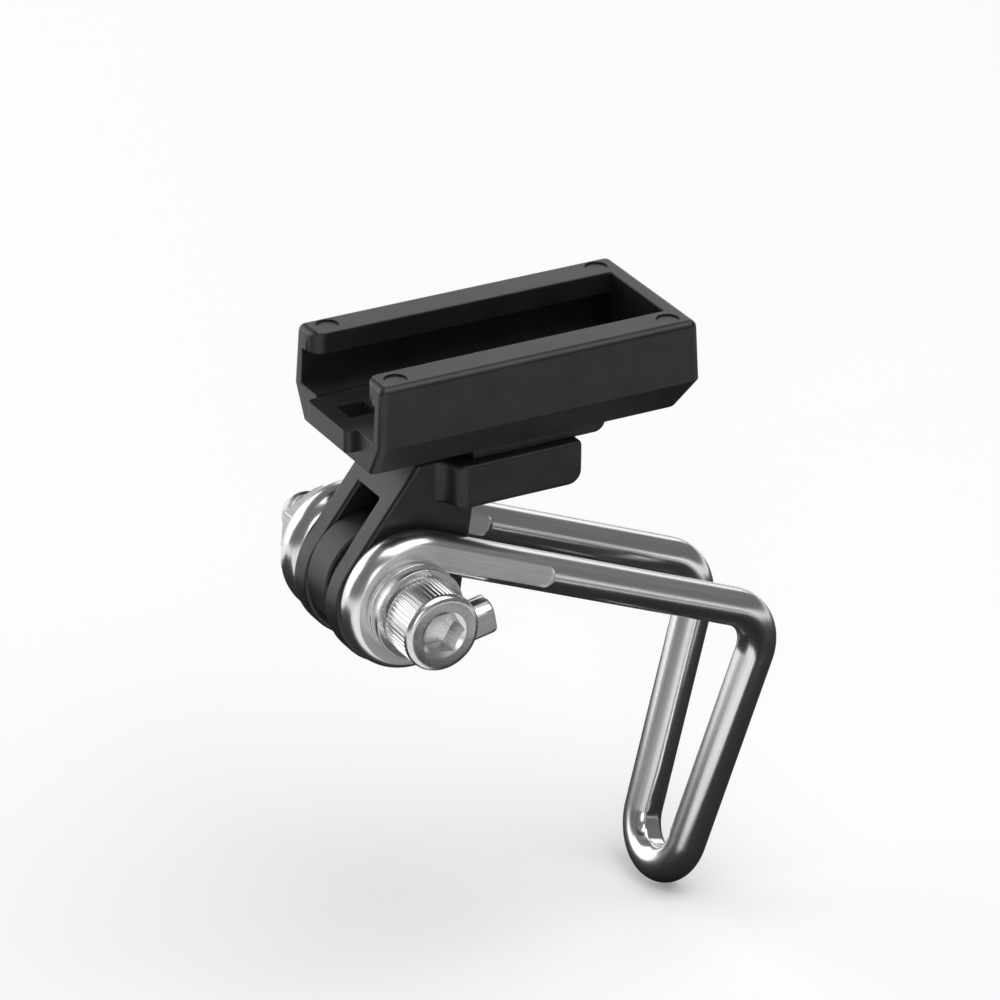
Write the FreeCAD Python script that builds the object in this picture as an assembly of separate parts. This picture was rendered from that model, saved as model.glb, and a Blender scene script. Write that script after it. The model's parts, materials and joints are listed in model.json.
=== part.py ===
# Fork headlight mount: a bent wire bracket, a friction tilt joint and a tray that a lamp slides into.
# Millimetres. Origin at the centre of the fork-crown loop, +X forward, +Y to the rider's left, +Z up.
import math
import os

import FreeCAD
import Part

V = FreeCAD.Vector

# Clamping screw, washers and nut
screw_d = 6.0
head_d = 10.0
head_h = 6.0
head_chamfer = 0.7
socket_af = 5.0
socket_depth = 3.0
socket_point = 1.0
screw_overrun = 4.9
screw_end_chamfer = 0.6
washer_d = 12.0
washer_t = 1.2
washer_play = 0.2
spring_d = 11.8
spring_t = 1.5
spring_split = 0.7
spring_slant = 25.0
nut_af = 10.0
nut_h = 4.3
nut_chamfer = 0.5
nut_angle = 34.0
thread_play = 0.02

# Tilt arm and spacer, measured from the screw's axis, and the shoulder from the front top edge
prong_t = 3.4
slot_w = 5.0
slot_h = 11.2
pivot_play = 0.05
face_play = 0.05
tip_r = 8.65
tip_back = 1.45
tip_drop = 0.5
front_slope = 52.7
neck_back = 11.3
arm_h = 16.4
block_h = 5.8
block_back = 24.35
block_heel_r = 1.8
block_edge_r = 0.6
shoulder_back = 1.7577
shoulder_run = 3.6
shoulder_step = 3.3
spacer_r = 7.6

# Wire bracket
wire_d = 5.0
eye_hole_d = 8.0
eye_back = 0.9
eye_drop = 0.2
eye_turn = 213.0
tail_len = 10.1
flat_t = 4.2
flat_run = 17.7
press_margin = 0.2
arm_slope = 22.4
arm_reach = 53.0
bend_r = 6.5
leg_slope = 16.7
leg_drop = 33.0
crown_hole_d = 6.5
crown_ream = 0.25

# Light tray
tray_len = 43.6
tray_front = 4.45
tray_w = 22.4
tray_h = 12.0
tray_corner_r = 1.0
tray_edge_r = 0.7
wall_draft = 0.33
skirt_h = 4.2
skirt_in = 2.5
skirt_rear = 2.0
side_wall = 1.8
rear_wall = 2.35
lip_h = 2.8
lip_over = 2.9
lip_round = 2.0
groove_h = 4.55
floor_step = 0.2
floor_step_w = 10.8
tongue_out = 1.4
tongue_w = 10.5
tongue_h = 3.15
tongue_r = 0.8
window_len = 3.5
window_w = 3.5
window_back = 0.65
ejector_d = 2.9
ejector_depth = 0.12
ejector_in = 3.05
pad_h = 1.7
pad_w = 15.8
pad_back = 9.8
pad_len = 18.4
pad_heel_r = 1.5
nose_w = 10.4
nose_len = 6.4

# Screws that hold the tray on the tilt arm
fix_d = 3.0
fix_head_d = 5.6
fix_head_h = 1.6
fix_socket_af = 2.0
fix_socket_depth = 1.0
fix_bite = 3.9
fix_back = 9.5
fix_pitch = 10.0
fix_play = 0.1

# Places worked out from the sizes above, from the screw's axis
screw_r = screw_d / 2
wire_r = wire_d / 2
knuckle_half = slot_w / 2 + prong_t
arm_y = knuckle_half + face_play + flat_t / 2
eye_face = arm_y + flat_t / 2
spring_face = eye_face + washer_t
head_face = spring_face + spring_t
screw_end = -(eye_face + nut_h + screw_overrun)
eye_r = eye_hole_d / 2 + wire_r
press_r = math.sqrt(wire_r ** 2 - (flat_t / 2) ** 2) + press_margin
loop_r = crown_hole_d / 2 - crown_ream + wire_r
arm_under = arm_h - block_h
front_lean = math.radians(front_slope)
front_edge = (tip_r - tip_back - arm_h * math.cos(front_lean)) / math.sin(front_lean)
tray_under = arm_h + pad_h
tray_top = tray_under + tray_h
groove_top = tray_top - lip_h
floor_top = groove_top - groove_h
tray_rear = tray_front - tray_len
cavity_rear = tray_rear + rear_wall
groove_half = tray_w / 2 - side_wall
throat_half = groove_half - lip_over
fix_len = floor_top - floor_step - arm_h + fix_bite
fix_places = [-fix_back, -fix_back - fix_pitch]
past = 2.0
flatness = 1e-4


def heading(angle):
    """Direction in the side plane, measured up from +X."""
    return V(math.cos(math.radians(angle)), 0, math.sin(math.radians(angle)))


def run(start, *steps):
    """Wire of lines (a point) and arcs (a pair: a point on the way, and the end)."""
    edges = []
    here = start
    for step in steps:
        if isinstance(step, tuple):
            middle, there = step
            edges.append(Part.Arc(here, middle, there).toShape())
        else:
            there = step
            edges.append(Part.LineSegment(here, there).toShape())
        here = there
    return Part.Wire(edges)


def prism(wire, along):
    return Part.Face(wire).extrude(along)


def turned(*profile):
    """Solid turned about the screw's axis from (radius, y) points."""
    points = [V(radius, y, 0) for radius, y in profile]
    face = Part.Face(Part.makePolygon(points + points[:1]))
    return face.revolve(V(0, 0, 0), V(0, 1, 0), 360)


def ring(outer, inner, low, high):
    return turned((inner, low), (outer, low), (outer, high), (inner, high))


def hexagon(across_flats, y, length, angle=0):
    """Six-sided bar along Y with one corner at an angle up from forward."""
    corner = across_flats / math.sqrt(3)
    points = [heading(60 * k + angle) * corner + V(0, y, 0) for k in range(7)]
    return prism(Part.makePolygon(points), V(0, length, 0))


def bar(x_low, x_high, half, z_low, z_high):
    """Block that is centred on the mid-plane."""
    return Part.makeBox(x_high - x_low, 2 * half, z_high - z_low, V(x_low, -half, z_low))


def edges_at_height(shape, z):
    return [e for e in shape.Edges if e.BoundBox.ZMin > z - flatness and e.BoundBox.ZMax < z + flatness]


def corner_arc(centre, radius, angle):
    """Quarter arc in plan that ends 90 degrees on from the given angle, as a step of run."""
    middle = math.radians(angle + 45)
    end = math.radians(angle + 90)
    return (
        centre + V(math.cos(middle), math.sin(middle), 0) * radius,
        centre + V(math.cos(end), math.sin(end), 0) * radius,
    )


def rounded_rectangle(x_low, x_high, half, z, radius):
    inner = half - radius
    return run(
        V(x_high, -inner, z),
        V(x_high, inner, z),
        corner_arc(V(x_high - radius, inner, z), radius, 0),
        V(x_low + radius, half, z),
        corner_arc(V(x_low + radius, inner, z), radius, 90),
        V(x_low, -inner, z),
        corner_arc(V(x_low + radius, -inner, z), radius, 180),
        V(x_high - radius, -half, z),
        corner_arc(V(x_high - radius, -inner, z), radius, 270),
    )


# Wire bracket: one wire, bent alike on both sides of the mid-plane
arm_way = heading(arm_slope + 180)
eye_centre = V(-eye_back, 0, -eye_drop)
eye_top = eye_centre + heading(arm_slope + 90) * eye_r
eye_bottom = eye_centre + heading(arm_slope + 90 - eye_turn) * eye_r
tail_way = heading(arm_slope - eye_turn)
leg_way = heading(leg_slope - 90)
bend_corner = eye_top + arm_way * arm_reach
crown = bend_corner + leg_way * leg_drop
crown_axis = heading(leg_slope)
leg_close = math.acos(loop_r / math.hypot(leg_drop, arm_y)) - math.atan2(leg_drop, arm_y)


def half_wire(side):
    """Centreline of one side, from the tail's cut end to the start of the crown loop."""
    out = V(0, side * arm_y, 0)
    corner = bend_corner + out
    touch_out = V(0, side, 0) * (loop_r * math.cos(leg_close))
    touch = crown + touch_out + leg_way * (loop_r * math.sin(leg_close))
    leg = (touch - corner).normalize()
    half_turn = arm_way.getAngle(leg) / 2
    inward = (leg - arm_way).normalize()
    bend_start = corner - arm_way * (bend_r * math.tan(half_turn))
    bend_end = corner + leg * (bend_r * math.tan(half_turn))
    bend_middle = corner + inward * (bend_r / math.cos(half_turn) - bend_r)
    eye_middle = eye_centre + heading(arm_slope + 90 - eye_turn / 2) * eye_r
    return [
        eye_bottom + tail_way * tail_len + out,
        eye_bottom + out,
        (eye_middle + out, eye_top + out),
        bend_start,
        (bend_middle, bend_end),
        touch,
    ]


def backwards(steps):
    """The same lines and arcs, followed from the other end."""
    ends = [step[1] if isinstance(step, tuple) else step for step in steps]
    turned_round = [ends[-1]]
    for k in range(len(steps) - 1, 0, -1):
        arc = isinstance(steps[k], tuple)
        turned_round.append((steps[k][0], ends[k - 1]) if arc else ends[k - 1])
    return turned_round


def strip(start, way, length, deep):
    """Bar a little wider than the flat it leaves, with a round far end."""
    across = way.cross(V(0, press_r, 0))
    end = start + way * (length - press_r)
    tip = (end + way * press_r, end - across)
    return prism(run(start + across, end + across, tip, start - across, start + across), deep)


def press_mark(side, face):
    """What the press takes off one face of an eye, its tail and the start of its arm."""
    level = V(0, side * arm_y + face * flat_t / 2, 0)
    deep = V(0, face * wire_d, 0)
    eye_mark = Part.makeCylinder(eye_r + wire_r, wire_d, eye_centre + level, V(0, face, 0))
    arm_mark = strip(eye_top + level, arm_way, flat_run, deep)
    tail_mark = strip(eye_bottom + level, tail_way, tail_len + wire_d, deep)
    return eye_mark.fuse([arm_mark, tail_mark])


def wire_bracket():
    near = half_wire(1)
    far = backwards(half_wire(-1))
    loop = (crown + leg_way * loop_r, far[0])
    path = run(near[0], *near[1:], loop, *far[1:])
    section = Part.Wire(Part.Circle(near[0], tail_way, wire_r).toShape())
    wire = path.makePipeShell([section], True, False)
    ream = Part.makeCylinder(crown_hole_d / 2, 2 * wire_d, crown - crown_axis * wire_d, crown_axis)
    marks = [press_mark(side, face) for side in (1, -1) for face in (1, -1)]
    return wire.cut([ream] + marks)


# Clamping screw, washers and nut, along the screw's axis
def clamp_screw():
    head_top = head_face + head_h
    head_r = head_d / 2
    screw = turned(
        (0, screw_end),
        (screw_r - screw_end_chamfer, screw_end),
        (screw_r, screw_end + screw_end_chamfer),
        (screw_r, head_face),
        (head_r, head_face),
        (head_r, head_top - head_chamfer),
        (head_r - head_chamfer, head_top),
        (0, head_top),
    )
    floor = head_top - socket_depth
    point = turned((0, floor - socket_point), (socket_af / 2, floor), (0, floor))
    return screw.cut([hexagon(socket_af, floor, socket_depth), point])


def plain_washer():
    return ring(washer_d / 2, screw_r + washer_play, eye_face, spring_face)


def spring_washer():
    washer = ring(spring_d / 2, screw_r + washer_play, spring_face, head_face)
    lean = V(math.tan(math.radians(spring_slant)) * spring_t, spring_t, 0)
    start = V(-spring_split / 2, spring_face, 0) - lean * 0.5
    wide = V(spring_split, 0, 0)
    far = start + lean * 2
    split = prism(run(start, start + wide, far + wide, far, start), V(0, 0, -spring_d))
    return washer.cut(split)


def clamp_nut():
    seat = -eye_face
    top = seat - nut_h
    corner_r = nut_af / math.sqrt(3)
    bore_r = screw_r + thread_play
    drum = turned(
        (bore_r, seat),
        (corner_r - nut_chamfer, seat),
        (corner_r, seat - nut_chamfer),
        (corner_r, top + nut_chamfer),
        (corner_r - nut_chamfer, top),
        (bore_r, top),
    )
    return hexagon(nut_af, top, nut_h, nut_angle).common(drum)


# Tilt arm: two prongs under a block that widens behind the eyes
def prong_outline():
    """Side outline of the knuckle: sloping front, round tip, and a rear line that touches the tip."""
    front_out = heading(90 - front_slope)
    down_front = heading(-front_slope)
    tip = down_front * tip_drop - front_out * tip_back
    front_touch = tip + front_out * tip_r
    front_top = V(front_edge, 0, arm_h)
    neck = V(-neck_back, 0, arm_under)
    to_neck = neck - tip
    rear_angle = math.degrees(math.atan2(to_neck.z, to_neck.x) + math.acos(tip_r / to_neck.Length))
    rear_touch = tip + heading(rear_angle) * tip_r
    tip_middle = tip + heading((90 - front_slope + rear_angle - 360) / 2) * tip_r
    return run(
        front_top,
        front_touch,
        (tip_middle, rear_touch),
        neck,
        V(-neck_back, 0, arm_h),
        front_top,
    )


def shoulder(side):
    """The two arcs in plan, from the knuckle's side out to the block's side."""
    turn = 2 * math.atan2(shoulder_step, shoulder_run)
    radius = shoulder_run / (2 * math.sin(turn))
    start = V(front_edge - shoulder_back, side * knuckle_half, arm_under)
    end = start + V(-shoulder_run, side * shoulder_step, 0)
    sweep_x = radius * math.sin(turn / 2)
    sweep_y = side * radius * (1 - math.cos(turn / 2))
    middle = (start + end) * 0.5
    return start, [(start + V(-sweep_x, sweep_y, 0), middle), (end + V(sweep_x, -sweep_y, 0), end)]


def block():
    near_start, near_steps = shoulder(1)
    far_start, far_steps = shoulder(-1)
    half = knuckle_half + shoulder_step
    near = [near_start] + near_steps
    far = backwards([far_start] + far_steps)
    plan = run(
        near[0],
        *near[1:],
        V(-block_back, half, arm_under),
        V(-block_back, -half, arm_under),
        far[0],
        *far[1:],
        near[0],
    )
    heel = V(-block_back + block_heel_r, -half, arm_under + block_heel_r)
    profile = run(
        V(0, -half, arm_under),
        V(0, -half, arm_h),
        V(-block_back, -half, arm_h),
        V(-block_back, -half, heel.z),
        (heel + heading(225) * block_heel_r, V(heel.x, -half, arm_under)),
        V(0, -half, arm_under),
    )
    return prism(plan, V(0, 0, block_h)).common(prism(profile, V(0, 2 * half, 0)))


def tilt_arm():
    knuckle = prism(prong_outline(), V(0, 2 * knuckle_half, 0))
    knuckle.translate(V(0, -knuckle_half, 0))
    solid = knuckle.fuse(block()).removeSplitter()
    solid = solid.makeFillet(block_edge_r, edges_at_height(solid, arm_h))
    slot = bar(-neck_back, 2 * tip_r, slot_w / 2, -2 * tip_r, slot_h)
    pivot_r = screw_r + pivot_play
    pivot = Part.makeCylinder(pivot_r, 2 * knuckle_half, V(0, -knuckle_half, 0), V(0, 1, 0))
    pilots = [fix_hole(x, fix_d / 2 + thread_play, 0) for x in fix_places]
    return solid.cut([slot, pivot] + pilots)


def spacer():
    half = slot_w / 2 - face_play
    return ring(spacer_r, screw_r + pivot_play, -half, half)


# Light tray: a drafted box with a chamfered skirt, lipped rails and an open front
def tray_shell():
    half = tray_w / 2
    low_half = half + wall_draft - skirt_in
    wide_front = tray_front + wall_draft
    wide_rear = tray_rear - wall_draft
    sections = [
        rounded_rectangle(wide_rear + skirt_rear, wide_front, low_half, tray_under, tray_corner_r),
        rounded_rectangle(wide_rear, wide_front, half + wall_draft, tray_under + skirt_h, tray_corner_r),
        rounded_rectangle(tray_rear, tray_front, half, tray_top, tray_corner_r),
    ]
    shell = Part.makeLoft(sections, True, True)
    return shell.makeFillet(tray_edge_r, edges_at_height(shell, tray_top))


def throat():
    """Space between the lips, which round off to the sides at the open front."""
    turn_x = tray_front - lip_round
    ahead = tray_front + wall_draft + past
    out = throat_half + lip_round
    bow = lip_round * math.sqrt(0.5)
    plan = run(
        V(cavity_rear, -throat_half, floor_top),
        V(turn_x, -throat_half, floor_top),
        (V(turn_x + bow, bow - out, floor_top), V(tray_front, -out, floor_top)),
        V(ahead, -out, floor_top),
        V(ahead, out, floor_top),
        V(tray_front, out, floor_top),
        (V(turn_x + bow, out - bow, floor_top), V(turn_x, throat_half, floor_top)),
        V(cavity_rear, throat_half, floor_top),
        V(cavity_rear, -throat_half, floor_top),
    )
    return prism(plan, V(0, 0, tray_top + past - floor_top))


def tongue():
    """Plate that stands out of the front, level with the floor."""
    nose = tray_front + wall_draft + tongue_out
    plate = rounded_rectangle(tray_front - window_back, nose, tongue_w / 2, floor_top - tongue_h, tongue_r)
    return prism(plate, V(0, 0, tongue_h - floor_step))


def pad():
    rear = -pad_back - pad_len
    half = pad_w / 2
    heel = V(rear + pad_heel_r, -half, arm_h + pad_heel_r)
    profile = run(
        V(-pad_back, -half, arm_h),
        V(-pad_back, -half, tray_under),
        V(rear, -half, tray_under),
        V(rear, -half, heel.z),
        (heel + heading(225) * pad_heel_r, V(heel.x, -half, arm_h)),
        V(-pad_back, -half, arm_h),
    )
    nose = bar(-pad_back, nose_len - pad_back, nose_w / 2, arm_h, tray_under)
    return prism(profile, V(0, pad_w, 0)).fuse(nose)


def ejector_marks():
    rail_y = (throat_half + tray_w / 2) / 2
    places = [(x, y) for x in (tray_front - ejector_in, tray_rear + ejector_in) for y in (rail_y, -rail_y)]
    return [
        Part.makeCylinder(ejector_d / 2, past, V(x, y, tray_top - ejector_depth))
        for x, y in places
    ]


def light_tray():
    ahead = tray_front + wall_draft + past
    groove = bar(cavity_rear, ahead, groove_half, floor_top, groove_top)
    step = bar(cavity_rear, ahead, floor_step_w / 2, floor_top - floor_step, floor_top)
    window_front = tray_front - window_back
    window = bar(window_front - window_len, window_front, window_w / 2, tray_under - past, floor_top)
    holes = [fix_hole(x, fix_d / 2 + fix_play, fix_play) for x in fix_places]
    shell = tray_shell().cut([groove, throat(), step])
    return shell.fuse([tongue(), pad()]).cut([window] + holes + ejector_marks())


# Countersunk screws, with their heads level with the tray's floor
def fix_hole(x, hole_r, play):
    top = floor_top - floor_step
    shank = Part.makeCylinder(hole_r, fix_len, V(x, 0, top - fix_len))
    head = Part.makeCone(fix_d / 2 + play, fix_head_d / 2 + play, fix_head_h, V(x, 0, top - fix_head_h))
    return shank.fuse(head)


def tray_screws():
    top = floor_top - floor_step
    screws = []
    for x in fix_places:
        body = fix_hole(x, fix_d / 2, 0)
        socket = hexagon(fix_socket_af, 0, fix_socket_depth)
        socket.rotate(V(0, 0, 0), V(1, 0, 0), 90)
        socket.translate(V(x, 0, top - fix_socket_depth))
        screws.append(body.cut(socket))
    return Part.makeCompound(screws)


nodes = {
    "wire_bracket": wire_bracket,
    "clamp_screw": clamp_screw,
    "plain_washer": plain_washer,
    "spring_washer": spring_washer,
    "clamp_nut": clamp_nut,
    "tilt_arm": tilt_arm,
    "spacer": spacer,
    "light_tray": light_tray,
    "tray_screws": tray_screws,
}

os.makedirs("parts", exist_ok=True)
for name, make in nodes.items():
    shape = make()
    shape.translate(V(0, 0, 0) - crown)
    shape.exportStep("parts/" + name + ".step")
    box = shape.BoundBox
    print(name, len(shape.Solids), "solid", round(shape.Volume, 1), "mm3", shape.isValid(), box)
print("screw axis at", V(0, 0, 0) - crown, "crown axis", crown_axis)
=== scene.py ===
import json
from math import acos, atan2, cos, degrees, hypot, pi, radians, sin, sqrt, tan

import bpy
from mathutils import Matrix, Vector


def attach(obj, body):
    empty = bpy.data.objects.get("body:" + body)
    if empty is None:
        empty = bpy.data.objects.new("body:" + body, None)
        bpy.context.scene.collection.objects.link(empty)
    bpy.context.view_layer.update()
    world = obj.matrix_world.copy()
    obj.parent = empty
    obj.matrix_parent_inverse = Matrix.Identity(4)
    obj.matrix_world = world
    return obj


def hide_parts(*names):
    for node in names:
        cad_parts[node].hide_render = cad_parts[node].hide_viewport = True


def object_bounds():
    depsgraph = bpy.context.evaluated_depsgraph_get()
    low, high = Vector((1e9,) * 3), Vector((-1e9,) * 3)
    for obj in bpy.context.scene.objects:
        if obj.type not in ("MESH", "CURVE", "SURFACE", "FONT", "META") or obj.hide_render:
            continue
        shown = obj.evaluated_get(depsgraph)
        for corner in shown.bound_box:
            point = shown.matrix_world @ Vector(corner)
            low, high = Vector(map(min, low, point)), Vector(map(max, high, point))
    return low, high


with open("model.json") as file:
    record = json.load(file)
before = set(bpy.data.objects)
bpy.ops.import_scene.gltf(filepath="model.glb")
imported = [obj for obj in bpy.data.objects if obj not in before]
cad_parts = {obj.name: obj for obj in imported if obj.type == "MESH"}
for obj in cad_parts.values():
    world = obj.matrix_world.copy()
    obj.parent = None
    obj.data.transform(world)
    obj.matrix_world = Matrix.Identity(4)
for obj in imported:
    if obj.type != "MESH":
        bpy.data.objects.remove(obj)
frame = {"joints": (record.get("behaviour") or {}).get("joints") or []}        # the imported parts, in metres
cadLow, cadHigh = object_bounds()
mm = 0.001
pivot = Vector(frame["joints"][0]["pos_m"])        # middle of the clamping screw
print("frame loaded, clamping screw at", tuple(pivot))


def at(x, y, z):        # millimetres from the middle of the clamping screw
    return pivot + Vector((x, y, z)) * mm


def heading(angle):        # direction in the side plane, measured up from forward
    return Vector((cos(radians(angle)), 0, sin(radians(angle))))


def clearSelection():
    if bpy.context.object and bpy.context.object.mode != "OBJECT":
        bpy.ops.object.mode_set(mode="OBJECT")
    bpy.ops.object.select_all(action="DESELECT")


def take(piece):        # makes one piece the selected and active one
    clearSelection()
    piece.select_set(True)
    bpy.context.view_layer.objects.active = piece


def pick(piece, kind, test):        # opens edit mode with the parts chosen by place
    take(piece)
    mesh = piece.data
    spots = [(vertex.co - pivot) / mm for vertex in mesh.vertices]
    for group in (mesh.vertices, mesh.edges, mesh.polygons):
        group.foreach_set("select", [False] * len(group))
    if kind == "VERT":
        for vertex in mesh.vertices:
            vertex.select = test(spots[vertex.index])
    elif kind == "EDGE":
        for edge in mesh.edges:
            edge.select = test(spots[edge.vertices[0]], spots[edge.vertices[1]])
    else:
        for face in mesh.polygons:
            face.select = test((face.center - pivot) / mm, face.normal)
    bpy.context.tool_settings.mesh_select_mode = [kind == name for name in ("VERT", "EDGE", "FACE")]
    bpy.ops.object.mode_set(mode="EDIT")


def closeUp(piece):        # joins doubled points and turns the faces outward
    take(piece)
    bpy.ops.object.mode_set(mode="EDIT")
    bpy.ops.mesh.select_all(action="SELECT")
    bpy.ops.mesh.remove_doubles(threshold=2e-7)
    bpy.ops.mesh.delete_loose()
    bpy.ops.mesh.select_all(action="SELECT")
    bpy.ops.mesh.normals_make_consistent(inside=False)
    bpy.ops.object.mode_set(mode="OBJECT")


def ringOf(name, points, fill="NOTHING"):        # circle primitive laid along the points
    clearSelection()
    bpy.ops.mesh.primitive_circle_add(vertices=len(points), radius=mm, fill_type=fill)
    piece = bpy.context.object
    piece.name = name
    for vertex, point in zip(piece.data.vertices, points):
        vertex.co = point
    return piece


def pulled(name, points, along):        # outline filled and pulled out into a solid
    piece = ringOf(name, points, "NGON")
    bpy.ops.object.mode_set(mode="EDIT")
    bpy.ops.mesh.select_all(action="SELECT")
    bpy.ops.mesh.extrude_region_move(TRANSFORM_OT_translate={"value": along})
    bpy.ops.object.mode_set(mode="OBJECT")
    closeUp(piece)
    return piece


def lathed(name, profile, steps, start=0, sweep=360):        # profile of radius and y, spun round the screw
    way = heading(start)
    points = [at(0, y, 0) + way * radius * mm for radius, y in profile]
    piece = ringOf(name, points, "NOTHING" if sweep == 360 else "NGON")
    bpy.ops.object.mode_set(mode="EDIT")
    bpy.ops.mesh.select_all(action="SELECT")
    bpy.ops.mesh.spin(steps=steps, angle=radians(sweep), center=pivot, axis=(0, 1, 0))
    bpy.ops.object.mode_set(mode="OBJECT")
    closeUp(piece)
    return piece


def block(name, low, high):        # cube primitive between two corners
    clearSelection()
    size = [b - a for a, b in zip(low, high)]
    middle = at(*[(a + b) / 2 for a, b in zip(low, high)])
    bpy.ops.mesh.primitive_cube_add(size=mm, location=middle, scale=size)
    piece = bpy.context.object
    piece.name = name
    bpy.ops.object.transform_apply(location=True, rotation=True, scale=True)
    return piece


def drum(name, radius, foot, length, way="Z", sides=64, tipRadius=None):        # cylinder or cone
    clearSelection()
    turn = {"Z": (0, 0, 0), "Y": (-pi / 2, 0, 0)}[way]
    lift = {"Z": Vector((0, 0, 1)), "Y": Vector((0, 1, 0))}[way]
    tip = radius if tipRadius is None else tipRadius
    middle = at(*foot) + lift * length * mm / 2
    bpy.ops.mesh.primitive_cone_add(vertices=sides, radius1=radius * mm, radius2=tip * mm,
                                    depth=length * mm, location=middle, rotation=turn)
    piece = bpy.context.object
    piece.name = name
    bpy.ops.object.transform_apply(location=True, rotation=True, scale=True)
    return piece


def combine(piece, tool, operation):        # boolean with a tool that is then thrown away
    take(piece)
    change = piece.modifiers.new("combine", "BOOLEAN")
    change.operation = operation
    change.object = tool
    change.solver = "EXACT"
    bpy.ops.object.modifier_apply(modifier=change.name)
    bpy.data.objects.remove(tool)


def roundEdges(piece, width, steps, angle=40):        # bevels every edge sharper than the angle
    take(piece)
    change = piece.modifiers.new("rounding", "BEVEL")
    change.width = width * mm
    change.segments = steps
    change.limit_method = "ANGLE"
    change.angle_limit = radians(angle)
    change.use_clamp_overlap = False
    bpy.ops.object.modifier_apply(modifier=change.name)


def bevelPicked(width, steps):        # bevels the edges chosen in edit mode
    bpy.ops.mesh.bevel(offset=width * mm, segments=steps, affect="EDGES", profile=0.5)
    bpy.ops.object.mode_set(mode="OBJECT")


def mergeFlats(piece):        # joins faces that lie in one plane
    take(piece)
    bpy.ops.object.mode_set(mode="EDIT")
    bpy.ops.mesh.select_all(action="SELECT")
    bpy.ops.mesh.dissolve_limited(angle_limit=radians(0.05))
    bpy.ops.object.mode_set(mode="OBJECT")


def finishPiece(piece, node, body, finish, angle=32):        # shading, material and place
    take(piece)
    bpy.ops.object.shade_smooth_by_angle(angle=radians(angle))
    settle = piece.modifiers.new("settle", "WEIGHTED_NORMAL")
    settle.keep_sharp = True
    settle.weight = 80
    bpy.ops.object.modifier_apply(modifier=settle.name)
    piece.data.materials.clear()
    piece.data.materials.append(finish)
    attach(piece, body)
    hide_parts(node)
    print(piece.name, "done,", len(piece.data.polygons), "faces")


def newFinish(name):        # material with its shader, ready to wire up
    finish = bpy.data.materials.new(name)
    finish.use_nodes = True
    return finish, finish.node_tree, finish.node_tree.nodes["Principled BSDF"]


def noiseOf(tree, source, scale, detail, stretch=(1, 1, 1)):        # noise over stretched coordinates
    spread = tree.nodes.new("ShaderNodeMapping")
    spread.inputs["Scale"].default_value = stretch
    noise = tree.nodes.new("ShaderNodeTexNoise")
    noise.inputs["Scale"].default_value = scale
    noise.inputs["Detail"].default_value = detail
    tree.links.new(source, spread.inputs["Vector"])
    tree.links.new(spread.outputs["Vector"], noise.inputs["Vector"])
    return noise.outputs["Fac"]


def rangeOf(tree, source, low, high, lowIn=0.3, highIn=0.7):        # spreads a noise between two values
    spread = tree.nodes.new("ShaderNodeMapRange")
    spread.inputs["From Min"].default_value = lowIn
    spread.inputs["From Max"].default_value = highIn
    spread.inputs["To Min"].default_value = low
    spread.inputs["To Max"].default_value = high
    tree.links.new(source, spread.inputs["Value"])
    return spread.outputs["Result"]


def tintOf(tree, source, dark, light):        # blends two colours by a value
    blend = tree.nodes.new("ShaderNodeMix")
    blend.data_type = "RGBA"
    blend.inputs["A"].default_value = (*dark, 1)
    blend.inputs["B"].default_value = (*light, 1)
    tree.links.new(source, blend.inputs["Factor"])
    return blend.outputs["Result"]


def bumpOf(tree, shader, source, strength, depth):        # fine relief from a value
    bump = tree.nodes.new("ShaderNodeBump")
    bump.inputs["Strength"].default_value = strength
    bump.inputs["Distance"].default_value = depth
    tree.links.new(source, bump.inputs["Height"])
    tree.links.new(bump.outputs["Normal"], shader.inputs["Normal"])


def plasticFinish(name, tones, rough, grain):        # moulded plastic with a fine grain
    finish, tree, shader = newFinish(name)
    place = tree.nodes.new("ShaderNodeTexCoord").outputs["Object"]
    cloud = noiseOf(tree, place, 260, 3)
    fine = noiseOf(tree, place, grain, 2)
    tree.links.new(tintOf(tree, rangeOf(tree, cloud, 0, 1), *tones), shader.inputs["Base Color"])
    tree.links.new(rangeOf(tree, fine, *rough), shader.inputs["Roughness"])
    shader.inputs["IOR"].default_value = 1.46
    bumpOf(tree, shader, fine, 0.25, 0.00002)
    return finish


def attributeOf(tree, name, output):        # value that the mesh carries
    source = tree.nodes.new("ShaderNodeAttribute")
    source.attribute_name = name
    return source.outputs[output]


def steelFinish(name, tones, rough, scale, stretch, drawn=False):        # steel with marks along one way
    finish, tree, shader = newFinish(name)
    place = tree.nodes.new("ShaderNodeTexCoord").outputs["Object"]
    if drawn:        # along the wire as if it were straight
        place = attributeOf(tree, "straight", "Vector")
    marks = noiseOf(tree, place, scale, 4, stretch)
    cloud = noiseOf(tree, place, 300, 2, stretch)
    tree.links.new(tintOf(tree, rangeOf(tree, marks, 0, 1), *tones), shader.inputs["Base Color"])
    gloss = rangeOf(tree, cloud, *rough)
    if drawn:        # the pressed flats are duller than the drawn wire
        dull = tree.nodes.new("ShaderNodeMath")
        dull.operation = "MULTIPLY_ADD"
        dull.inputs[1].default_value = 0.2
        tree.links.new(attributeOf(tree, "pressed", "Fac"), dull.inputs[0])
        tree.links.new(gloss, dull.inputs[2])
        gloss = dull.outputs[0]
    tree.links.new(gloss, shader.inputs["Roughness"])
    shader.inputs["Metallic"].default_value = 1
    bumpOf(tree, shader, marks, 0.12, 0.00001)
    return finish


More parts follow.
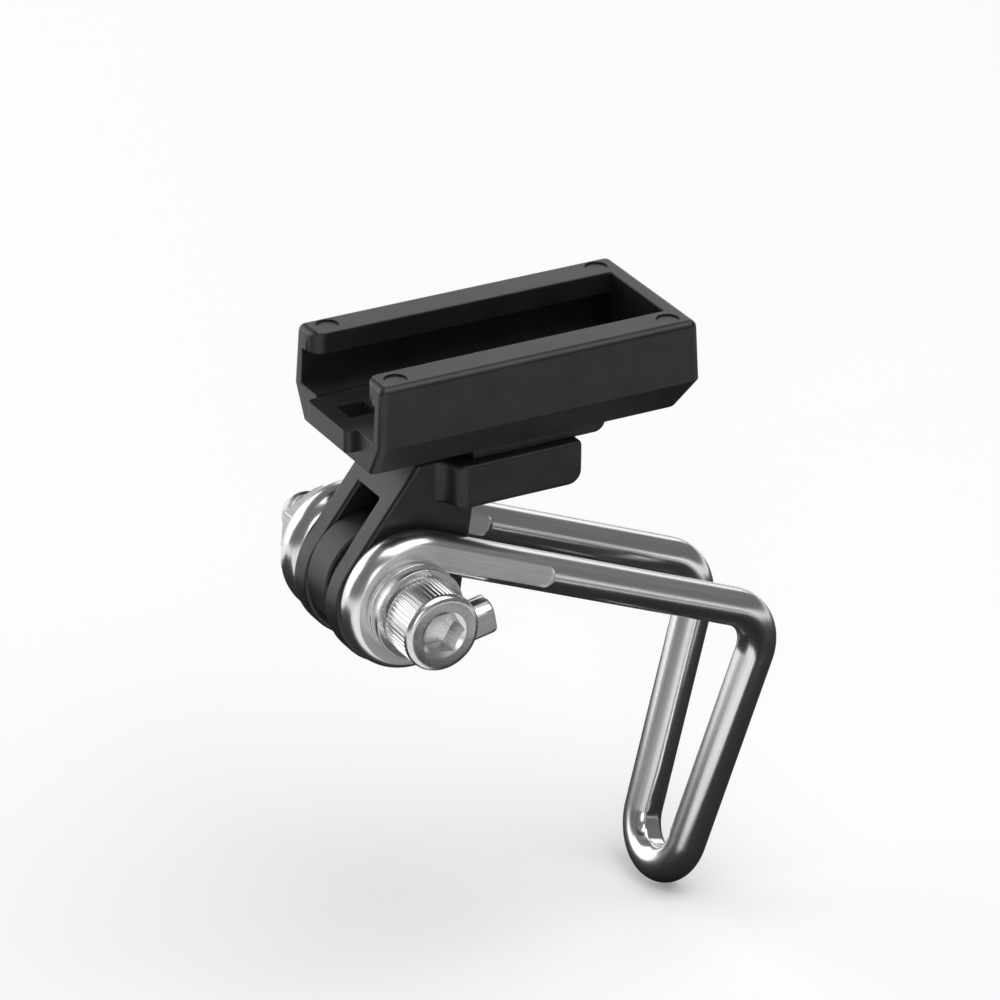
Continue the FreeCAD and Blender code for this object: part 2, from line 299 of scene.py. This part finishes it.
mouldingTones = (0.013, 0.013, 0.013), (0.021, 0.021, 0.021)        # the darkest and the lightest
# painted light: the spacer's black is set lighter than the moulding's, to make up for the shade the prongs
# throw on the recessed spacer
paintedLightSpacerTones = (0.018, 0.018, 0.018), (0.026, 0.026, 0.026)
wireTones = (0.7, 0.7, 0.69), (0.88, 0.88, 0.87)
screwTones = (0.62, 0.62, 0.62), (0.8, 0.8, 0.79)
washerTones = (0.5, 0.5, 0.51), (0.72, 0.72, 0.72)
nutTones = (0.5, 0.5, 0.52), (0.68, 0.68, 0.69)
darkTones = (0.05, 0.05, 0.052), (0.1, 0.1, 0.105)
blackMoulding = plasticFinish("blackMoulding", mouldingTones, (0.3, 0.42), 7000)
blackSpacerPaintedLight = plasticFinish("blackSpacerPaintedLight", paintedLightSpacerTones, (0.34, 0.46), 6000)
wireSteel = steelFinish("wireSteel", wireTones, (0.16, 0.26), 9000, (1, 1, 0.012), True)
screwSteel = steelFinish("screwSteel", screwTones, (0.22, 0.32), 4000, (1, 0.05, 1))
washerSteel = steelFinish("washerSteel", washerTones, (0.22, 0.36), 5000, (1, 0.1, 1))
nutSteel = steelFinish("nutSteel", nutTones, (0.24, 0.36), 5000, (1, 0.1, 1))
darkSteel = steelFinish("darkSteel", darkTones, (0.35, 0.5), 5000, (1, 1, 0.1))
print("materials done")

wire = {
    "radius": 2.49, "armY": 8.05, "eyeRadius": 6.5, "eyeBack": 0.9, "eyeDrop": 0.2, "eyeTurn": 213,
    "rise": 22.4, "tail": 10.1, "tailEdge": 0.4, "flat": 4.2, "flatRun": 17.7, "pressRadius": 1.556,
    "stepRun": 0.16, "reach": 53, "bendRadius": 6.5, "lean": 16.7, "drop": 33, "loopRadius": 5.5,
    "ream": 3.25, "tailRings": 8, "eyeRings": 72, "flatRings": 10,
}


def wireSection(edge):        # angles round the wire, with a point on each edge of the flats
    across = [edge * (k / 6 - 1) for k in range(12)]
    beside = [edge + (180 - 2 * edge) * k / 24 for k in range(24)]
    return across + beside + [a + 180 for a in across + beside]


def pull(way, lengths):        # extrudes the last ring by each length in turn
    for length in lengths:
        bpy.ops.mesh.extrude_region_move(TRANSFORM_OT_translate={"value": way * length * mm})


def buildWire():
    radius, armY, eyeRadius = wire["radius"], wire["armY"], wire["eyeRadius"]
    side = Vector((0, 1, 0))
    armWay = heading(wire["rise"] + 180)
    tailWay = heading(wire["rise"] - wire["eyeTurn"])
    legPlane = heading(wire["lean"] - 90)
    crownAxis = heading(wire["lean"])
    eye = Vector((-wire["eyeBack"], armY, -wire["eyeDrop"]))
    eyeTop = eye + heading(wire["rise"] + 90) * eyeRadius
    eyeBottom = eye + heading(wire["rise"] + 90 - wire["eyeTurn"]) * eyeRadius
    corner = eyeTop + armWay * wire["reach"]
    crown = corner - side * armY + legPlane * wire["drop"]
    close = acos(wire["loopRadius"] / hypot(wire["drop"], armY)) - atan2(wire["drop"], armY)
    touch = crown + (side * cos(close) + legPlane * sin(close)) * wire["loopRadius"]
    leg = (touch - corner).normalized()
    half = armWay.angle(leg) / 2
    bendCut = wire["bendRadius"] * tan(half)
    bendMiddle = corner + (leg - armWay).normalized() * wire["bendRadius"] / cos(half)
    tailEnd = eyeBottom + tailWay * wire["tail"]
    edge = degrees(acos(wire["flat"] / 2 / radius))
    inPlane = tailWay.cross(side)
    turns = [radians(a) for a in wireSection(edge)]
    ring = [tailEnd + (side * cos(a) + inPlane * sin(a)) * radius for a in turns]
    sides = len(ring)
    tailRings, eyeRings, flatRings = wire["tailRings"], wire["eyeRings"], wire["flatRings"]
    flatStart = wire["flatRun"] - wire["pressRadius"]
    lead = 0.02        # the ring that ends the flat stands this far past the last even ring
    clear = wire["pressRadius"] + 0.6
    armDone = flatStart + lead + wire["stepRun"] + clear
    piece = ringOf("wireBracket", [at(*point) for point in ring])
    bpy.ops.object.mode_set(mode="EDIT")
    bpy.ops.mesh.select_all(action="SELECT")
    pull(-tailWay, [wire["tail"] / tailRings] * tailRings)
    bpy.ops.mesh.spin(steps=eyeRings, angle=radians(wire["eyeTurn"]), center=at(*eye), axis=side)
    pull(armWay, [flatStart / flatRings] * flatRings + [lead, wire["stepRun"], clear])
    pull(armWay, [(wire["reach"] - bendCut - armDone) / 12] * 12)
    bendAxis = armWay.cross(leg).normalized()
    bpy.ops.mesh.spin(steps=36, angle=-2 * half, center=at(*bendMiddle), axis=bendAxis)
    pull(leg, [((touch - corner).length - bendCut) / 10] * 10)
    bpy.ops.mesh.spin(steps=36, angle=pi / 2 - close, center=at(*crown), axis=crownAxis)
    bpy.ops.object.mode_set(mode="OBJECT")

    mesh = piece.data
    spots = [(vertex.co - pivot) / mm for vertex in mesh.vertices]
    rings = len(spots) // sides
    middles = [sum(spots[k * sides:(k + 1) * sides], Vector()) / sides for k in range(rings)]
    flatRing = tailRings + eyeRings + flatRings + 1        # last pressed ring, with the step after it
    mesh.attributes.new("straight", "FLOAT_VECTOR", "POINT")
    mesh.attributes.new("pressed", "FLOAT", "POINT")
    straight, pressed = mesh.attributes["straight"], mesh.attributes["pressed"]
    gone = 0
    for k in range(rings):
        gone += (middles[k] - middles[k - 1]).length if k else 0
        ahead = (middles[min(k + 1, rings - 1)] - middles[max(k - 1, 0)]).normalized()
        across = (side - ahead * side.dot(ahead)).normalized()
        for j in range(sides):
            spot = spots[k * sides + j] - middles[k]
            place = (spot.dot(across) * mm, spot.dot(ahead.cross(across)) * mm, gone * mm)
            straight.data[k * sides + j].vector = place
            vertex = mesh.vertices[k * sides + j]
            onFlat = abs(spot.y) > wire["flat"] / 2 - 1e-4
            if k in (flatRing, flatRing + 1):        # rounds the end of the flat
                sideways = min(abs(spot.dot(ahead.cross(side))), radius * sin(radians(edge)))
                vertex.co += armWay * sqrt(wire["pressRadius"] ** 2 - sideways ** 2) * mm
            if k <= flatRing and onFlat:
                pressed.data[k * sides + j].value = 1
                vertex.co.y = (armY + (1 if spot.y > 0 else -1) * wire["flat"] / 2) * mm
            fromCrown = vertex.co - crownAxis * vertex.co.dot(crownAxis)
            if fromCrown.length < wire["ream"] * mm:        # the reamed inside of the crown loop
                vertex.co += fromCrown.normalized() * (wire["ream"] * mm - fromCrown.length)

    def atTailEnd(p):
        return abs((p - tailEnd).dot(tailWay)) < 1e-3 and (p - tailEnd).length < radius + 0.1

    pick(piece, "VERT", atTailEnd)
    bpy.ops.mesh.edge_face_add()
    pick(piece, "EDGE", lambda a, b: atTailEnd(a) and atTailEnd(b))
    bevelPicked(wire["tailEdge"], 3)
    take(piece)
    twin = piece.modifiers.new("twin", "MIRROR")
    twin.use_axis = (False, True, False)
    twin.merge_threshold = 1e-6
    bpy.ops.object.modifier_apply(modifier=twin.name)
    closeUp(piece)
    finishPiece(piece, "wire_bracket", "bracket", wireSteel)


buildWire()

screw = {
    "radius": 3.0, "shank": 2.95, "shankEnd": -9.4, "root": 2.45, "crest": 2.97, "pitch": 1.0, "coils": 12,
    "threadStart": -9.6, "end": -19.348, "endChamfer": 0.6, "headFace": 12.85, "headTop": 18.85,
    "headRadius": 5.0, "collar": 0.42, "teeth": 54, "toothDepth": 0.24, "crownRound": 0.85,
    "hexAcross": 5.0, "hexDepth": 3.0, "hexPoint": 1.0, "mouth": 3.05, "mouthFoot": 2.2, "mouthDepth": 0.6,
}


def hexBar(name, across, low, high, turn=0):        # six-sided bar along the screw
    corner = across / sqrt(3)
    points = [at(0, low, 0) + heading(60 * k + turn) * corner * mm for k in range(6)]
    return pulled(name, points, (0, (high - low) * mm, 0))


def buildScrew():
    face, top, outer, turn = screw["headFace"], screw["headTop"], screw["headRadius"], screw["crownRound"]
    turns = [radians(a) for a in range(0, 91, 15)]
    crownArc = [(outer - turn + turn * cos(a), top - turn + turn * sin(a)) for a in turns]
    shank, shankEnd = screw["shank"], screw["shankEnd"]
    collar, sunk = face + screw["collar"], top - screw["mouthDepth"]
    profile = [(0, shankEnd), (shank, shankEnd), (shank, face), (outer - 0.45, face)]
    profile += [(outer - 0.2, face + 0.12), (outer - 0.03, collar - 0.02), (outer, collar)]
    profile += [(outer, top - turn - 0.12)] + crownArc
    profile += [(screw["mouth"], top), (screw["mouthFoot"], sunk), (0, sunk)]
    perTooth = 4        # columns of the head to one tooth
    piece = lathed("clampScrew", profile, screw["teeth"] * perTooth)
    step = 360 / (screw["teeth"] * perTooth)

    def inGroove(p):        # two columns in four, on the straight part of the head
        column = round(degrees(atan2(p.z, p.x)) / step) % perTooth
        onKnurl = hypot(p.x, p.z) > outer - 0.01 and collar - 0.01 < p.y < top - turn - 0.1
        return onKnurl and column in (0, 1)

    pick(piece, "VERT", inGroove)
    shrink = 1 - screw["toothDepth"] / outer
    bpy.ops.transform.resize(value=(shrink, 1, shrink), center_override=pivot)
    bpy.ops.object.mode_set(mode="OBJECT")
    floor = top - screw["hexDepth"]
    combine(piece, hexBar("socket", screw["hexAcross"], floor, top + 1), "DIFFERENCE")
    across = screw["hexAcross"] / 2
    deep = screw["hexPoint"]
    combine(piece, drum("point", 0, (0, floor - deep, 0), deep + 0.01, "Y", 48, across), "DIFFERENCE")

    pitch, root, crest = screw["pitch"], screw["root"], screw["crest"]
    start = screw["end"] - 1.5 * pitch
    ridge = [(root, 0), (root, 0.12), (crest, 0.44), (crest, 0.56), (root, 0.88), (root, 1)]
    thread = ringOf("thread", [(r * mm, (start + y * pitch) * mm, 0) for r, y in ridge])
    pick(thread, "EDGE", lambda a, b: abs(a.y - b.y) > pitch * 0.9)        # the closing side of the ring
    bpy.ops.mesh.delete(type="EDGE")
    bpy.ops.object.mode_set(mode="OBJECT")
    coil = thread.modifiers.new("coil", "SCREW")
    coil.axis = "Y"
    coil.screw_offset = pitch * mm
    coil.iterations = screw["coils"]
    coil.steps = 72
    coil.render_steps = 72
    coil.use_merge_vertices = True
    coil.merge_threshold = 1e-6
    bpy.ops.object.modifier_apply(modifier=coil.name)
    thread.data.transform(Matrix.Translation((pivot.x, 0, pivot.z)))
    closeUp(thread)
    for y, inner in ((screw["end"], True), (screw["threadStart"], False)):
        pick(thread, "FACE", lambda centre, normal: True)
        bpy.ops.mesh.bisect(plane_co=at(0, y, 0), plane_no=(0, 1, 0),
                            clear_inner=inner, clear_outer=not inner)
        bpy.ops.object.mode_set(mode="OBJECT")
    pick(thread, "VERT", lambda p: True)
    bpy.ops.mesh.fill_holes(sides=0)
    bpy.ops.object.mode_set(mode="OBJECT")
    closeUp(thread)
    end, cut, wide, last = screw["end"], screw["endChamfer"], screw["radius"] + 0.1, shankEnd + 0.4
    tip = [(0, end), (screw["radius"] - cut, end), (wide, end + cut + 0.1), (wide, last), (0, last)]
    combine(thread, lathed("tip", tip, 96), "INTERSECT")
    take(piece)
    thread.select_set(True)
    bpy.ops.object.join()
    finishPiece(piece, "clamp_screw", "bracket", screwSteel, 28)


buildScrew()


def softRing(inner, outer, low, high, edge):        # ring profile with rounded corners
    corners = [(inner, low, 1, 1), (outer, low, -1, 1), (outer, high, -1, -1), (inner, high, 1, -1)]
    turns = {(1, 1): (180, 270), (-1, 1): (270, 360), (-1, -1): (0, 90), (1, -1): (90, 180)}
    points = []
    for r, y, toR, toY in corners:
        first, last = turns[(toR, toY)]
        for k in range(4):
            angle = radians(first + (last - first) * k / 3)
            points.append((r + toR * edge + edge * cos(angle), y + toY * edge + edge * sin(angle)))
    return points


plainWasher = {"inner": 3.2, "outer": 6.0, "low": 10.15, "high": 11.35, "edge": 0.2}
plainPiece = lathed("plainWasher", softRing(**plainWasher), 128)
finishPiece(plainPiece, "plain_washer", "bracket", washerSteel)

springWasher = {"inner": 3.2, "outer": 5.9, "low": 11.35, "high": 12.85, "edge": 0.15}
springGap = 6.8        # degrees, at the bottom
springPiece = lathed("springWasher", softRing(**springWasher), 124, springGap / 2 - 90, 360 - springGap)
finishPiece(springPiece, "spring_washer", "bracket", washerSteel)

spacer = {"inner": 3.05, "outer": 7.6, "low": -2.45, "high": 2.45, "edge": 0.3}
spacerPiece = lathed("spacerRing", softRing(**spacer), 160)
# the spacer gets the lighter black, which is painted light for the shade between the prongs
finishPiece(spacerPiece, "spacer", "tilting_tray", blackSpacerPaintedLight)

nut = {
    "across": 10.0, "seat": -10.15, "top": -14.45, "chamfer": 0.5, "turn": 34, "bore": 3.02, "mouth": 0.4,
    "edge": 0.08,
}


def buildNut():
    seat, top, cut = nut["seat"], nut["top"], nut["chamfer"]
    corner, hole, mouth = nut["across"] / sqrt(3), nut["bore"], nut["mouth"]
    piece = hexBar("clampNut", nut["across"], top, seat, nut["turn"])
    wide = corner + 0.05
    sides = [(corner - cut, seat), (wide, seat - cut - 0.05), (wide, top + cut + 0.05)]
    chamfers = [(0, seat)] + sides + [(corner - cut, top), (0, top)]
    combine(piece, lathed("chamfers", chamfers, 120), "INTERSECT")
    bore = [(0, top - 1), (hole + mouth, top - 1), (hole + mouth, top), (hole, top + mouth)]
    bore += [(hole, seat - mouth), (hole + mouth, seat), (hole + mouth, seat + 1), (0, seat + 1)]
    combine(piece, lathed("bore", bore, 96), "DIFFERENCE")
    roundEdges(piece, nut["edge"], 2)
    finishPiece(piece, "clamp_nut", "bracket", nutSteel)


buildNut()

arm = {
    "half": 5.9, "slotHalf": 2.5, "slotTop": 11.2, "slotRun": 4, "tipRadius": 8.65, "tipBack": 1.45,
    "tipDrop": 0.5, "slope": 52.7, "neckBack": 11.3, "top": 16.4, "under": 10.6, "back": 24.35, "heel": 1.8,
    "shoulderBack": 5.2, "shoulderRun": 3.6, "shoulderStep": 3.3, "edge": 0.6, "bore": 3.05,
    "pilots": (-9.5, -19.5), "pilotRadius": 1.52, "pilotLow": 12.5,
}


def shoulderPoints(side):        # the two arcs in plan, from the knuckle out to the block
    turn = 2 * atan2(arm["shoulderStep"], arm["shoulderRun"])
    radius = arm["shoulderRun"] / (2 * sin(turn))
    points = []
    for k in range(9):
        a = turn * k / 8
        x = -arm["shoulderBack"] - radius * sin(a)
        points.append((x, side * (arm["half"] + radius * (1 - cos(a)))))
    for k in range(1, 9):
        a = turn * (1 - k / 8)
        x = -arm["shoulderBack"] - arm["shoulderRun"] + radius * sin(a)
        points.append((x, side * (arm["half"] + arm["shoulderStep"] - radius * (1 - cos(a)))))
    return points


def buildArm():
    half, top, under = arm["half"], arm["top"], arm["under"]
    outward = heading(90 - arm["slope"])
    down = heading(-arm["slope"])
    tip = down * arm["tipDrop"] - outward * arm["tipBack"]
    touch = tip + outward * arm["tipRadius"]
    frontTop = touch + down * ((top - touch.z) / down.z)
    neck = Vector((-arm["neckBack"], 0, under))
    reach = (neck - tip).length
    rear = degrees(atan2(neck.z - tip.z, neck.x - tip.x) + acos(arm["tipRadius"] / reach)) - 360
    first = 90 - arm["slope"]
    tipArc = [tip + heading(first + (rear - first) * k / 40) * arm["tipRadius"] for k in range(41)]
    outline = [frontTop] + tipArc + [neck, Vector((-arm["neckBack"], 0, top))]
    piece = pulled("tiltArm", [at(p.x, -half, p.z) for p in outline], (0, 2 * half * mm, 0))

    wide = half + arm["shoulderStep"]
    near, far = shoulderPoints(1), shoulderPoints(-1)
    plan = near + [(-arm["back"], wide), (-arm["back"], -wide)] + far[::-1]
    carrier = pulled("carrier", [at(x, y, under) for x, y in plan], (0, 0, (top - under) * mm))
    heelX = -arm["back"] + 0.01
    pick(carrier, "EDGE", lambda a, b: max(a.x, b.x) < heelX and max(a.z, b.z) < under + 0.01)
    bevelPicked(arm["heel"], 7)
    combine(piece, carrier, "UNION")
    neckX, side, ceiling = -arm["neckBack"], arm["slotHalf"], arm["slotTop"]
    beyond = 20        # well clear of the prongs
    slot = [(neckX - 1, -beyond), (beyond, -beyond), (beyond, ceiling), (neckX + arm["slotRun"], ceiling)]
    slot += [(neckX, under), (neckX - 1, under - 0.1)]        # the ceiling slopes down to the block
    slotPoints = [at(x, -side, z) for x, z in slot]
    combine(piece, pulled("slot", slotPoints, (0, 2 * side * mm, 0)), "DIFFERENCE")
    mergeFlats(piece)
    closeUp(piece)
    roundEdges(piece, arm["edge"], 3)
    combine(piece, drum("bore", arm["bore"], (0, -8, 0), 16, "Y"), "DIFFERENCE")
    for x in arm["pilots"]:
        pilot = drum("pilot", arm["pilotRadius"], (x, 0, arm["pilotLow"]), 6, "Z", 48)
        combine(piece, pilot, "DIFFERENCE")
    finishPiece(piece, "tilt_arm", "tilting_tray", blackMoulding)


buildArm()

tray = {
    "front": 4.45, "rear": -39.15, "half": 11.2, "under": 18.1, "top": 30.098, "draft": 0.33, "skirt": 4.2,
    "skirtIn": 2.5, "skirtRear": 2.0, "corner": 1.0, "rim": 0.9, "cavityRear": -36.8, "grooveHalf": 9.4,
    "grooveTop": 27.3, "floor": 22.75, "throatHalf": 6.5, "lipRound": 2.0, "step": 0.2, "stepHalf": 5.4,
    "tongueOut": 1.4, "tongueHalf": 5.25, "tongueLow": 19.6, "tongueCorner": 0.8, "windowFront": 3.8,
    "windowRear": 0.3, "windowHalf": 1.75, "padFront": -9.8, "padRear": -28.2, "padHalf": 7.9,
    "padLow": 16.4, "padHeel": 1.5, "noseFront": -3.4, "noseHalf": 5.2, "edge": 0.2, "marks": (1.4, -36.1),
    "markY": 8.85, "markRadius": 1.45, "markDepth": 0.2, "holes": (-9.5, -19.5), "holeRadius": 1.6,
    "sinkRadius": 2.9, "sinkDepth": 1.6, "past": 9,
}


def buildTray():
    draft, front, rear, half = tray["draft"], tray["front"], tray["rear"], tray["half"]
    low, top, floor = tray["under"], tray["top"], tray["floor"]
    hip = low + tray["skirt"]
    wideFront, wideRear, wideHalf = front + draft, rear - draft, half + draft
    piece = block("lightTray", (wideRear, -wideHalf, hip), (wideFront, wideHalf, top))
    pick(piece, "EDGE", lambda a, b: abs(a.z - b.z) > 1)
    bevelPicked(tray["corner"], 6)
    pick(piece, "FACE", lambda centre, normal: normal.z > 0.9)
    shrink = ((front - rear) / (wideFront - wideRear), half / wideHalf, 1)
    bpy.ops.transform.resize(value=shrink, center_override=at((front + rear) / 2, 0, top))
    pick(piece, "FACE", lambda centre, normal: normal.z < -0.9)
    bpy.ops.mesh.extrude_region_move(TRANSFORM_OT_translate={"value": (0, 0, -tray["skirt"] * mm)})
    length = wideFront - wideRear
    narrow = ((length - tray["skirtRear"]) / length, (wideHalf - tray["skirtIn"]) / wideHalf, 1)
    bpy.ops.transform.resize(value=narrow, center_override=at(wideFront, 0, low))
    pick(piece, "EDGE", lambda a, b: min(a.z, b.z) > top - 0.01)
    bevelPicked(tray["rim"], 6)

    inner, side, past = tray["cavityRear"], tray["grooveHalf"], tray["past"]        # past the open front
    combine(piece, block("groove", (inner, -side, floor), (past, side, tray["grooveTop"])), "DIFFERENCE")
    neck, turn = tray["throatHalf"], tray["lipRound"]
    turns = [radians(a) for a in range(0, 91, 10)]
    lipArc = [(front - turn + turn * sin(a), neck + turn * (1 - cos(a))) for a in turns]
    plan = [(inner, neck)] + lipArc + [(past, neck + turn)]
    plan += [(x, -y) for x, y in plan[::-1]]
    throat = pulled("throat", [at(x, y, floor + 2) for x, y in plan], (0, 0, 10 * mm))
    combine(piece, throat, "DIFFERENCE")

    heel, side, foot = tray["padRear"], tray["padHalf"], tray["padLow"]
    wideEnd, nose, noseSide = tray["padFront"], tray["noseFront"], tray["noseHalf"]
    plan = [(heel, side), (wideEnd, side), (wideEnd, noseSide), (nose, noseSide)]
    plan += [(x, -y) for x, y in plan[::-1]]
    pad = pulled("pad", [at(x, y, foot) for x, y in plan], (0, 0, (low + 1 - foot) * mm))
    pick(pad, "EDGE", lambda a, b: max(a.x, b.x) < heel + 0.01 and max(a.z, b.z) < foot + 0.01)
    bevelPicked(tray["padHeel"], 6)
    combine(piece, pad, "UNION")
    mergeFlats(piece)
    closeUp(piece)
    roundEdges(piece, tray["edge"], 2)

    sunk = floor - tray["step"]
    side = tray["stepHalf"]
    combine(piece, block("step", (inner, -side, sunk), (past, side, floor + 1)), "DIFFERENCE")
    nose, side = wideFront + tray["tongueOut"], tray["tongueHalf"]
    tongue = block("tongue", (front - 2, -side, tray["tongueLow"]), (nose, side, sunk - 0.005))
    pick(tongue, "EDGE", lambda a, b: abs(a.z - b.z) > 1 and a.x > front)
    bevelPicked(tray["tongueCorner"], 5)
    roundEdges(tongue, tray["edge"], 2)
    combine(piece, tongue, "UNION")
    side = tray["windowHalf"]
    windowLow, windowHigh = (tray["windowRear"], -side, low - 2), (tray["windowFront"], side, floor + 1)
    combine(piece, block("window", windowLow, windowHigh), "DIFFERENCE")
    markFloor, hole, deep = top - tray["markDepth"], tray["holeRadius"], tray["sinkDepth"]
    for x in tray["marks"]:
        for y in (tray["markY"], -tray["markY"]):
            combine(piece, drum("mark", tray["markRadius"], (x, y, markFloor), 2, "Z", 48), "DIFFERENCE")
    for x in tray["holes"]:
        combine(piece, drum("hole", hole, (x, 0, foot - 1), 8, "Z", 48), "DIFFERENCE")
        sink = drum("sink", hole, (x, 0, sunk - deep), deep, "Z", 48, tray["sinkRadius"])
        combine(piece, sink, "DIFFERENCE")
    finishPiece(piece, "light_tray", "tilting_tray", blackMoulding)


buildTray()

trayScrews = {
    "places": (-9.5, -19.5), "top": 22.55, "radius": 1.5, "head": 2.8, "headDepth": 1.6, "bottom": 12.5,
    "across": 2.0, "socket": 1.0,
}


def buildTrayScrews():
    made = []
    top, bottom, deep = trayScrews["top"], trayScrews["bottom"], trayScrews["headDepth"]
    radius, corner = trayScrews["radius"], trayScrews["across"] / sqrt(3)
    for x in trayScrews["places"]:
        piece = drum("trayScrew", radius, (x, 0, bottom), top - bottom, "Z", 48)
        head = drum("head", radius - 0.02, (x, 0, top - deep), deep, "Z", 48, trayScrews["head"])
        combine(piece, head, "UNION")
        floor = at(x, 0, top - trayScrews["socket"])
        turns = [k * pi / 3 for k in range(6)]
        hexagon = [floor + Vector((cos(a), sin(a), 0)) * corner * mm for a in turns]
        combine(piece, pulled("socket", hexagon, (0, 0, 2 * mm)), "DIFFERENCE")
        made.append(piece)
    take(made[0])
    made[1].select_set(True)
    bpy.ops.object.join()
    made[0].name = "trayScrews"
    finishPiece(made[0], "tray_screws", "tilting_tray", darkSteel)


buildTrayScrews()

studio = {
    "eye": (308.5, 588.8, 336.1), "right": (-0.8768, 0.4808, 0.0094), "up": (-0.2044, -0.3903, 0.8977),
    "lens": 218.7, "ambient": 0.16, "floorTone": 0.9, "floorLift": 0.2, "cardLevel": -53.5,
    "cardTone": 0.02, "middle": (0.021, 0, 0.045),
}
lamps = {        # place in metres, size and power
    "topPanel": ((-0.12, 0.22, 0.88), (0.9, 0.9), 5.8),
    "farPanel": ((-0.5, -0.65, 0.37), (0.7, 0.45), 1.1),
    "frontPanel": ((0.5, -0.72, 0.3), (1.0, 0.7), 4.2),
    "nearPanel": ((0.46, 0.86, 0.33), (0.3, 0.5), 1.2),
}
cards = {        # span forward and span sideways from the screw
    "groundCard": ((-240, -10), (-110, 90)),
    "eyeCard": ((-10, 190), (-110, 15)),
    "headCard": ((-55, -10), (90, 190)),
    "wallCard": ((-150, -66), (112, 200)),
}


def aimed(eye, target):        # turn that points an object's back along the line of sight
    return (Vector(eye) - Vector(target)).to_track_quat("Z", "Y").to_euler()


def addLamp(name, place, size, power):
    clearSelection()
    bpy.ops.object.light_add(type="AREA", location=place, rotation=aimed(place, studio["middle"]))
    lamp = bpy.context.object
    lamp.name = name
    lamp.data.shape = "RECTANGLE"
    lamp.data.size, lamp.data.size_y = size
    lamp.data.energy = power


def addCard(name, spanX, spanY):        # dark card that only reflections see
    clearSelection()
    bpy.ops.mesh.primitive_plane_add(size=1)
    card = bpy.context.object
    card.name = name
    corners = [(x, y) for y in spanY for x in spanX]
    for vertex, (x, y) in zip(card.data.vertices, corners):
        vertex.co = at(x, y, studio["cardLevel"])
    finish, tree, shader = newFinish(name)
    shader.inputs["Base Color"].default_value = (studio["cardTone"],) * 3 + (1,)
    shader.inputs["Roughness"].default_value = 1
    card.data.materials.append(finish)
    card.visible_camera = False
    card.visible_diffuse = False
    card.visible_shadow = False


def buildStudio():
    world = bpy.data.worlds.new("studio")
    bpy.context.scene.world = world
    world.use_nodes = True
    sky = world.node_tree.nodes["Background"]
    sky.inputs["Color"].default_value = (1, 1, 1, 1)
    sky.inputs["Strength"].default_value = studio["ambient"]

    clearSelection()
    bpy.ops.mesh.primitive_plane_add(size=6, location=(0, 0, cadLow[2]))
    floor = bpy.context.object
    floor.name = "floor"
    paper, tree, shader = newFinish("paper")
    shader.inputs["Base Color"].default_value = (studio["floorTone"],) * 3 + (1,)
    shader.inputs["Roughness"].default_value = 0.9
    shader.inputs["Specular IOR Level"].default_value = 0.1
    shader.inputs["Emission Color"].default_value = (1, 1, 1, 1)
    path = tree.nodes.new("ShaderNodeLightPath")
    seen = path.outputs["Is Camera Ray"]
    for ray in ("Is Glossy Ray", "Is Transmission Ray"):        # metal shows the same pale floor
        either = tree.nodes.new("ShaderNodeMath")
        either.operation = "MAXIMUM"
        tree.links.new(seen, either.inputs[0])
        tree.links.new(path.outputs[ray], either.inputs[1])
        seen = either.outputs[0]
    lift = tree.nodes.new("ShaderNodeMath")
    lift.operation = "MULTIPLY"
    lift.inputs[1].default_value = studio["floorLift"]
    tree.links.new(seen, lift.inputs[0])
    tree.links.new(lift.outputs[0], shader.inputs["Emission Strength"])
    floor.data.materials.append(paper)

    for name, settings in lamps.items():
        addLamp(name, *settings)
    for name, spans in cards.items():
        addCard(name, *spans)

    clearSelection()
    bpy.ops.object.camera_add(location=at(*studio["eye"]))
    camera = bpy.context.object
    right, up = Vector(studio["right"]).normalized(), Vector(studio["up"]).normalized()
    turn = Matrix((right, up, right.cross(up))).transposed()
    camera.rotation_euler = turn.to_euler()
    camera.data.lens = studio["lens"]
    camera.data.sensor_width = 36
    bpy.context.scene.camera = camera
    bpy.context.scene.view_settings.view_transform = "Standard"
    print("studio done")


buildStudio()
